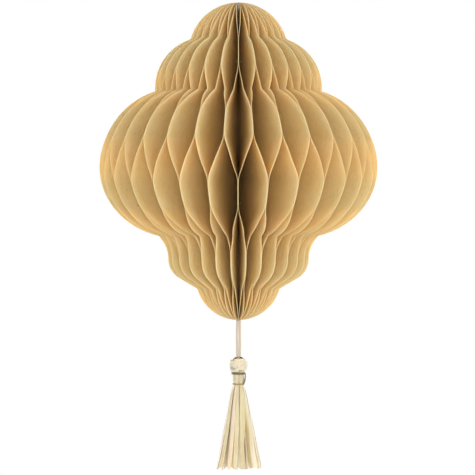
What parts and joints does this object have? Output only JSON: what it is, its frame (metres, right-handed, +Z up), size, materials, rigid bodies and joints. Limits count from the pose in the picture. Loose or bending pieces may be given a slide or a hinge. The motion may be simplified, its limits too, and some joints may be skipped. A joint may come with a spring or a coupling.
{
  "type": "hanging paper honeycomb ball with tassel",
  "caption": "Lantern-shaped hanging ball of glued honeycomb paper that fans open round a cord, with a raffia tassel on a short cord below",
  "frame": {"origin": "the hanging point: the top of the hanging eye, on the ball's axis, at the ball's apex", "axes": "+Z up along the spine cord; the closed seam of the two covers faces +Y, so the front is -Y"},
  "size_m": [0.2, 0.1996, 0.3363],
  "materials": {
    "honeycomb_paper": "matte",
    "cover_card": "matte",
    "adhesive_pad": "matte",
    "binding_thread": "matte",
    "cord": "matte",
    "raffia": "satin",
    "tie_strand": "matte"
  },
  "bodies": {
    "root": {"cover_a": "cover_card", "closing_pad_01": "adhesive_pad", "closing_pad_02": "adhesive_pad", "closing_pad_03": "adhesive_pad", "binding_thread_upper": "binding_thread", "binding_thread_lower": "binding_thread", "cord_lashing_upper": "binding_thread", "cord_lashing_lower": "binding_thread", "hang_eye": "cord", "top_knot": "cord", "spine_cord": "cord", "bottom_knot": "cord"},
    "cover_b": {"cover_b": "cover_card"},
    "leaf_pair_01": {"leaf_pair_01": "honeycomb_paper"},
    "leaf_pair_02": {"leaf_pair_02": "honeycomb_paper"},
    "leaf_pair_03": {"leaf_pair_03": "honeycomb_paper"},
    "leaf_pair_04": {"leaf_pair_04": "honeycomb_paper"},
    "leaf_pair_05": {"leaf_pair_05": "honeycomb_paper"},
    "leaf_pair_06": {"leaf_pair_06": "honeycomb_paper"},
    "leaf_pair_07": {"leaf_pair_07": "honeycomb_paper"},
    "leaf_pair_08": {"leaf_pair_08": "honeycomb_paper"},
    "leaf_pair_09": {"leaf_pair_09": "honeycomb_paper"},
    "leaf_pair_10": {"leaf_pair_10": "honeycomb_paper"},
    "leaf_pair_11": {"leaf_pair_11": "honeycomb_paper"},
    "leaf_pair_12": {"leaf_pair_12": "honeycomb_paper"},
    "leaf_pair_13": {"leaf_pair_13": "honeycomb_paper"},
    "leaf_pair_14": {"leaf_pair_14": "honeycomb_paper"},
    "leaf_pair_15": {"leaf_pair_15": "honeycomb_paper"},
    "leaf_pair_16": {"leaf_pair_16": "honeycomb_paper"},
    "leaf_pair_17": {"leaf_pair_17": "honeycomb_paper"},
    "leaf_pair_18": {"leaf_pair_18": "honeycomb_paper"},
    "leaf_pair_19": {"leaf_pair_19": "honeycomb_paper"},
    "leaf_pair_20": {"leaf_pair_20": "honeycomb_paper"},
    "leaf_pair_21": {"leaf_pair_21": "honeycomb_paper"},
    "leaf_pair_22": {"leaf_pair_22": "honeycomb_paper"},
    "leaf_pair_23": {"leaf_pair_23": "honeycomb_paper"},
    "leaf_pair_24": {"leaf_pair_24": "honeycomb_paper"},
    "leaf_pair_25": {"leaf_pair_25": "honeycomb_paper"},
    "leaf_pair_26": {"leaf_pair_26": "honeycomb_paper"},
    "leaf_pair_27": {"leaf_pair_27": "honeycomb_paper"},
    "leaf_pair_28": {"leaf_pair_28": "honeycomb_paper"},
    "leaf_pair_29": {"leaf_pair_29": "honeycomb_paper"},
    "tassel_cord": {"tassel_cord_left": "cord", "tassel_cord_right": "cord"},
    "tassel": {"strand_core": "raffia", "head_wrap": "raffia", "skirt_strand_01": "raffia", "skirt_strand_02": "raffia", "skirt_strand_03": "raffia", "skirt_strand_04": "raffia", "skirt_strand_05": "raffia", "skirt_strand_06": "raffia", "skirt_strand_07": "raffia", "skirt_strand_08": "raffia", "skirt_strand_09": "raffia", "skirt_strand_10": "raffia", "tie_thread": "tie_strand", "tie_tail": "tie_strand"}
  },
  "joints": [
    {"name": "fan_fold", "type": "hinge", "parent": "root", "child": "cover_b", "pos_m": [0, 0, 0], "axis": [0, 0, -1], "range_deg": [0, 350], "deforming": ["leaf_pair_01", "leaf_pair_02", "leaf_pair_03", "leaf_pair_04", "leaf_pair_05", "leaf_pair_06", "leaf_pair_07", "leaf_pair_08", "leaf_pair_09", "leaf_pair_10", "leaf_pair_11", "leaf_pair_12", "leaf_pair_13", "leaf_pair_14", "leaf_pair_15", "leaf_pair_16", "leaf_pair_17", "leaf_pair_18", "leaf_pair_19", "leaf_pair_20", "leaf_pair_21", "leaf_pair_22", "leaf_pair_23", "leaf_pair_24", "leaf_pair_25", "leaf_pair_26", "leaf_pair_27", "leaf_pair_28", "leaf_pair_29"]},
    {"name": "leaf_fold_01", "type": "hinge", "parent": "root", "child": "leaf_pair_01", "pos_m": [0, 0, 0], "axis": [0, 0, -1], "range_deg": [0, 6.5]},
    {"name": "leaf_fold_02", "type": "hinge", "parent": "root", "child": "leaf_pair_02", "pos_m": [0, 0, 0], "axis": [0, 0, -1], "range_deg": [0, 18.6]},
    {"name": "leaf_fold_03", "type": "hinge", "parent": "root", "child": "leaf_pair_03", "pos_m": [0, 0, 0], "axis": [0, 0, -1], "range_deg": [0, 30.7]},
    {"name": "leaf_fold_04", "type": "hinge", "parent": "root", "child": "leaf_pair_04", "pos_m": [0, 0, 0], "axis": [0, 0, -1], "range_deg": [0, 42.7]},
    {"name": "leaf_fold_05", "type": "hinge", "parent": "root", "child": "leaf_pair_05", "pos_m": [0, 0, 0], "axis": [0, 0, -1], "range_deg": [0, 54.8]},
    {"name": "leaf_fold_06", "type": "hinge", "parent": "root", "child": "leaf_pair_06", "pos_m": [0, 0, 0], "axis": [0, 0, -1], "range_deg": [0, 66.9]},
    {"name": "leaf_fold_07", "type": "hinge", "parent": "root", "child": "leaf_pair_07", "pos_m": [0, 0, 0], "axis": [0, 0, -1], "range_deg": [0, 78.9]},
    {"name": "leaf_fold_08", "type": "hinge", "parent": "root", "child": "leaf_pair_08", "pos_m": [0, 0, 0], "axis": [0, 0, -1], "range_deg": [0, 91]},
    {"name": "leaf_fold_09", "type": "hinge", "parent": "root", "child": "leaf_pair_09", "pos_m": [0, 0, 0], "axis": [0, 0, -1], "range_deg": [0, 103.1]},
    {"name": "leaf_fold_10", "type": "hinge", "parent": "root", "child": "leaf_pair_10", "pos_m": [0, 0, 0], "axis": [0, 0, -1], "range_deg": [0, 115.2]},
    {"name": "leaf_fold_11", "type": "hinge", "parent": "root", "child": "leaf_pair_11", "pos_m": [0, 0, 0], "axis": [0, 0, -1], "range_deg": [0, 127.2]},
    {"name": "leaf_fold_12", "type": "hinge", "parent": "root", "child": "leaf_pair_12", "pos_m": [0, 0, 0], "axis": [0, 0, -1], "range_deg": [0, 139.3]},
    {"name": "leaf_fold_13", "type": "hinge", "parent": "root", "child": "leaf_pair_13", "pos_m": [0, 0, 0], "axis": [0, 0, -1], "range_deg": [0, 151.4]},
    {"name": "leaf_fold_14", "type": "hinge", "parent": "root", "child": "leaf_pair_14", "pos_m": [0, 0, 0], "axis": [0, 0, -1], "range_deg": [0, 163.4]},
    {"name": "leaf_fold_15", "type": "hinge", "parent": "root", "child": "leaf_pair_15", "pos_m": [0, 0, 0], "axis": [0, 0, -1], "range_deg": [0, 175.5]},
    {"name": "leaf_fold_16", "type": "hinge", "parent": "root", "child": "leaf_pair_16", "pos_m": [0, 0, 0], "axis": [0, 0, -1], "range_deg": [0, 187.6]},
    {"name": "leaf_fold_17", "type": "hinge", "parent": "root", "child": "leaf_pair_17", "pos_m": [0, 0, 0], "axis": [0, 0, -1], "range_deg": [0, 199.6]},
    {"name": "leaf_fold_18", "type": "hinge", "parent": "root", "child": "leaf_pair_18", "pos_m": [0, 0, 0], "axis": [0, 0, -1], "range_deg": [0, 211.7]},
    {"name": "leaf_fold_19", "type": "hinge", "parent": "root", "child": "leaf_pair_19", "pos_m": [0, 0, 0], "axis": [0, 0, -1], "range_deg": [0, 223.8]},
    {"name": "leaf_fold_20", "type": "hinge", "parent": "root", "child": "leaf_pair_20", "pos_m": [0, 0, 0], "axis": [0, 0, -1], "range_deg": [0, 235.8]},
    {"name": "leaf_fold_21", "type": "hinge", "parent": "root", "child": "leaf_pair_21", "pos_m": [0, 0, 0], "axis": [0, 0, -1], "range_deg": [0, 247.9]},
    {"name": "leaf_fold_22", "type": "hinge", "parent": "root", "child": "leaf_pair_22", "pos_m": [0, 0, 0], "axis": [0, 0, -1], "range_deg": [0, 260]},
    {"name": "leaf_fold_23", "type": "hinge", "parent": "root", "child": "leaf_pair_23", "pos_m": [0, 0, 0], "axis": [0, 0, -1], "range_deg": [0, 272.1]},
    {"name": "leaf_fold_24", "type": "hinge", "parent": "root", "child": "leaf_pair_24", "pos_m": [0, 0, 0], "axis": [0, 0, -1], "range_deg": [0, 284.1]},
    {"name": "leaf_fold_25", "type": "hinge", "parent": "root", "child": "leaf_pair_25", "pos_m": [0, 0, 0], "axis": [0, 0, -1], "range_deg": [0, 296.2]},
    {"name": "leaf_fold_26", "type": "hinge", "parent": "root", "child": "leaf_pair_26", "pos_m": [0, 0, 0], "axis": [0, 0, -1], "range_deg": [0, 308.3]},
    {"name": "leaf_fold_27", "type": "hinge", "parent": "root", "child": "leaf_pair_27", "pos_m": [0, 0, 0], "axis": [0, 0, -1], "range_deg": [0, 320.3]},
    {"name": "leaf_fold_28", "type": "hinge", "parent": "root", "child": "leaf_pair_28", "pos_m": [0, 0, 0], "axis": [0, 0, -1], "range_deg": [0, 332.4]},
    {"name": "leaf_fold_29", "type": "hinge", "parent": "root", "child": "leaf_pair_29", "pos_m": [0, 0, 0], "axis": [0, 0, -1], "range_deg": [0, 344.5]},
    {"name": "cord_swing", "type": "hinge", "parent": "root", "child": "tassel_cord", "pos_m": [0, 0, -0.2284], "axis": [0, 1, 0], "range_deg": [-75, 75], "deforming": ["tassel_cord_left", "tassel_cord_right"]},
    {"name": "tassel_tilt", "type": "hinge", "parent": "tassel_cord", "child": "tassel", "pos_m": [0, 0, -0.2545], "axis": [1, 0, 0], "range_deg": [-60, 60]}
  ],
  "couplings": [
    {"joint": "leaf_fold_01", "follows": "fan_fold", "ratio": 0.017241},
    {"joint": "leaf_fold_02", "follows": "fan_fold", "ratio": 0.051724},
    {"joint": "leaf_fold_03", "follows": "fan_fold", "ratio": 0.086207},
    {"joint": "leaf_fold_04", "follows": "fan_fold", "ratio": 0.12069},
    {"joint": "leaf_fold_05", "follows": "fan_fold", "ratio": 0.15517},
    {"joint": "leaf_fold_06", "follows": "fan_fold", "ratio": 0.18965},
    {"joint": "leaf_fold_07", "follows": "fan_fold", "ratio": 0.22414},
    {"joint": "leaf_fold_08", "follows": "fan_fold", "ratio": 0.25862},
    {"joint": "leaf_fold_09", "follows": "fan_fold", "ratio": 0.2931},
    {"joint": "leaf_fold_10", "follows": "fan_fold", "ratio": 0.32759},
    {"joint": "leaf_fold_11", "follows": "fan_fold", "ratio": 0.36207},
    {"joint": "leaf_fold_12", "follows": "fan_fold", "ratio": 0.39655},
    {"joint": "leaf_fold_13", "follows": "fan_fold", "ratio": 0.43103},
    {"joint": "leaf_fold_14", "follows": "fan_fold", "ratio": 0.46552},
    {"joint": "leaf_fold_15", "follows": "fan_fold", "ratio": 0.5},
    {"joint": "leaf_fold_16", "follows": "fan_fold", "ratio": 0.53448},
    {"joint": "leaf_fold_17", "follows": "fan_fold", "ratio": 0.56897},
    {"joint": "leaf_fold_18", "follows": "fan_fold", "ratio": 0.60345},
    {"joint": "leaf_fold_19", "follows": "fan_fold", "ratio": 0.63793},
    {"joint": "leaf_fold_20", "follows": "fan_fold", "ratio": 0.67241},
    {"joint": "leaf_fold_21", "follows": "fan_fold", "ratio": 0.7069},
    {"joint": "leaf_fold_22", "follows": "fan_fold", "ratio": 0.74138},
    {"joint": "leaf_fold_23", "follows": "fan_fold", "ratio": 0.77586},
    {"joint": "leaf_fold_24", "follows": "fan_fold", "ratio": 0.81034},
    {"joint": "leaf_fold_25", "follows": "fan_fold", "ratio": 0.84483},
    {"joint": "leaf_fold_26", "follows": "fan_fold", "ratio": 0.87931},
    {"joint": "leaf_fold_27", "follows": "fan_fold", "ratio": 0.91379},
    {"joint": "leaf_fold_28", "follows": "fan_fold", "ratio": 0.94828},
    {"joint": "leaf_fold_29", "follows": "fan_fold", "ratio": 0.98276}
  ]
}
